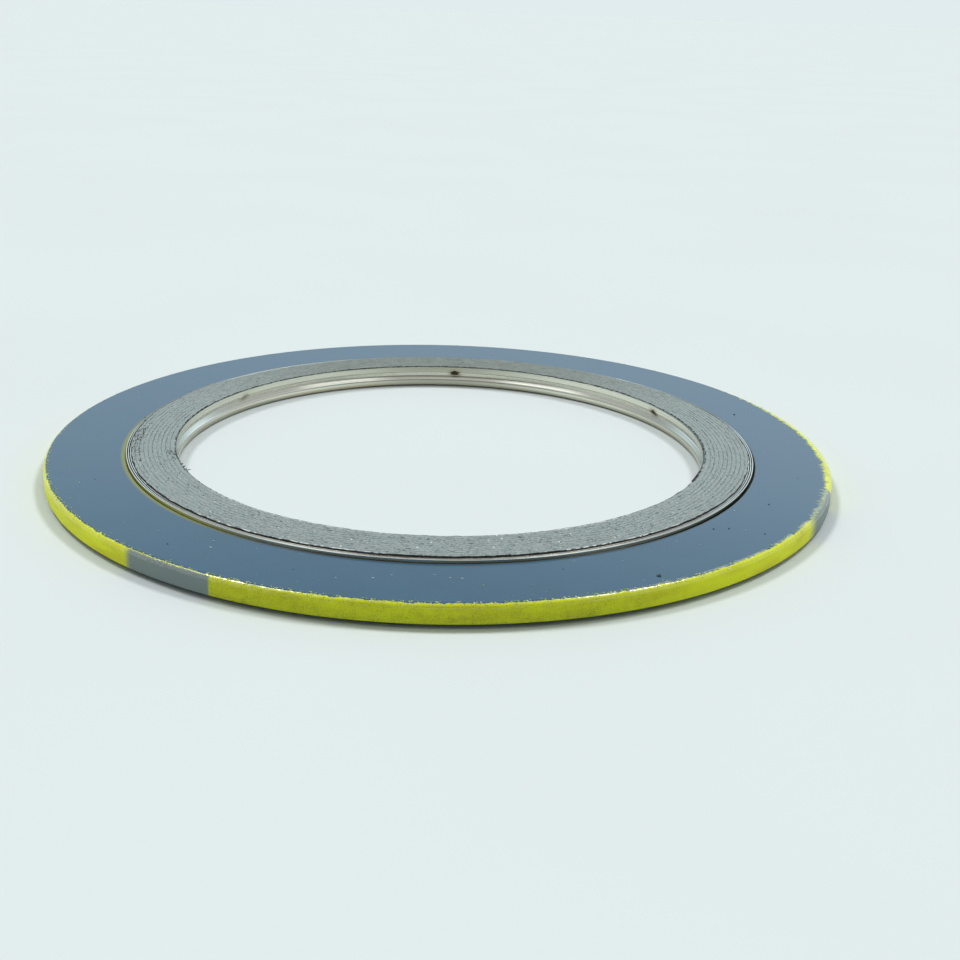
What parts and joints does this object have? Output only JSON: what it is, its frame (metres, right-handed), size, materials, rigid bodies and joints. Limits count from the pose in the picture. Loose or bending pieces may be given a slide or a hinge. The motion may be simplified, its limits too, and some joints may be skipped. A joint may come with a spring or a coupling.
{
  "type": "spiral wound flange gasket",
  "caption": "Flat ring gasket for pipe flanges: a painted steel guide ring around a spiral winding of V-section steel strip and graphite tape.",
  "frame": {"origin": "centre of the lower sealing face, on the axis of the bore", "axes": "+Z along the axis, up from the lower sealing face; +X towards the right of the picture's view"},
  "size_m": [0.1494, 0.1494, 0.0047],
  "materials": {
    "ring_paint": "satin blue-grey paint, rim sprayed yellow with grey stripes",
    "strip_steel": "cold rolled, warm tint, spot weld marks",
    "graphite": "pressed flake graphite, grainy, dull metallic"
  },
  "bodies": {
    "root": {"guide_ring": "ring_paint", "winding_strip": "strip_steel", "graphite_filler": "graphite"}
  },
  "joints": []
}
